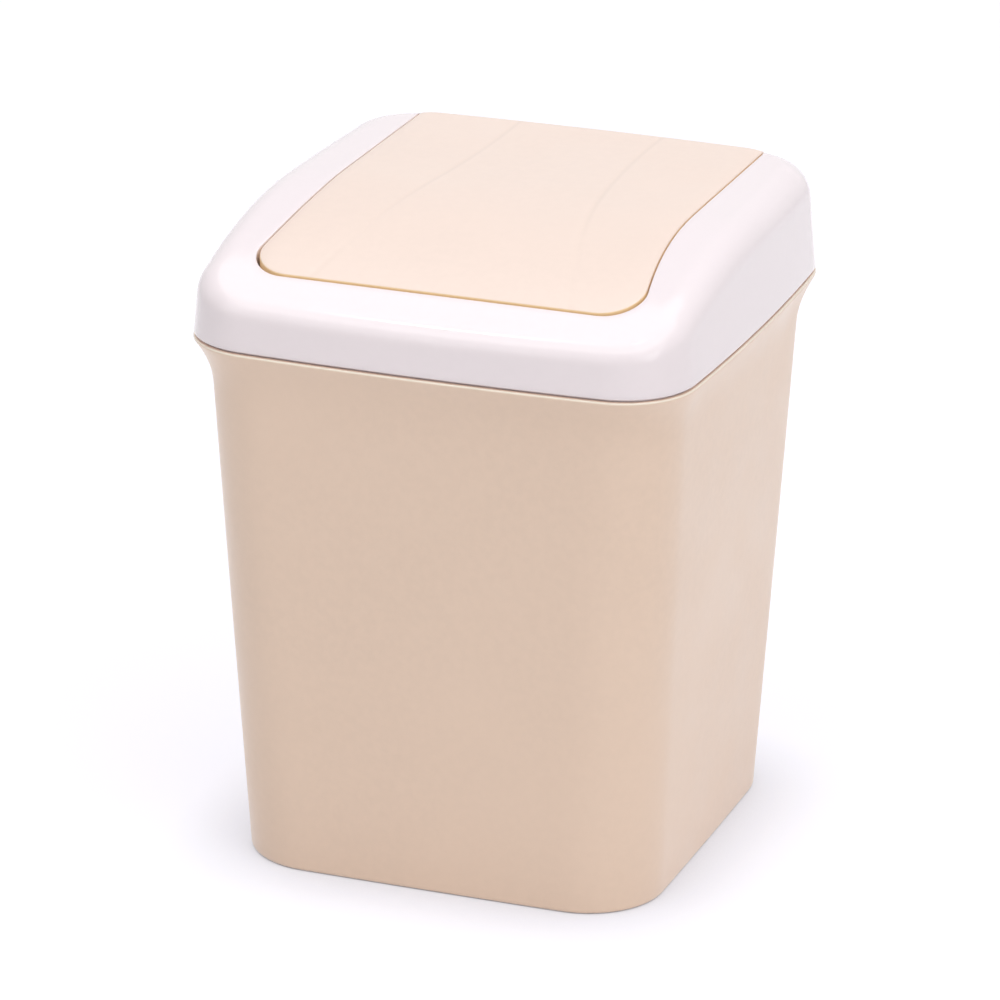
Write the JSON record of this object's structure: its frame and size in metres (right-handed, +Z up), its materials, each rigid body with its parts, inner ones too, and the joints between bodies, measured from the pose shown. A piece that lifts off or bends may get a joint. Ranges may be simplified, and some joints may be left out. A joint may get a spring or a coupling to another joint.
{
  "type": "desktop trash can",
  "caption": "Small square desktop bin: a tapered tub with a flared rim, a lift-off domed cover and a push flap that swings inwards and falls shut by its own weight.",
  "frame": {"origin": "on the floor, under the middle of the tub", "axes": "+Z up, -Y towards the front edge that is pushed, +X to the right seen from the front"},
  "size_m": [0.1406, 0.1406, 0.177],
  "materials": {
    "tub_plastic": "satin",
    "cover_plastic": "semi-gloss",
    "flap_plastic": "satin"
  },
  "bodies": {
    "tub": {"tub": "tub_plastic"},
    "cover": {"cover_frame": "cover_plastic"},
    "flap": {"swing_flap": "flap_plastic"}
  },
  "joints": [
    {"name": "cover_lift", "type": "slide", "parent": "tub", "child": "cover", "axis": [0, 0, 1], "range_m": [0, 0.04]},
    {"name": "flap_swing", "type": "hinge", "parent": "cover", "child": "flap", "pos_m": [0, 0, 0.1715], "axis": [1, 0, 0], "range_deg": [0, 65]}
  ]
}
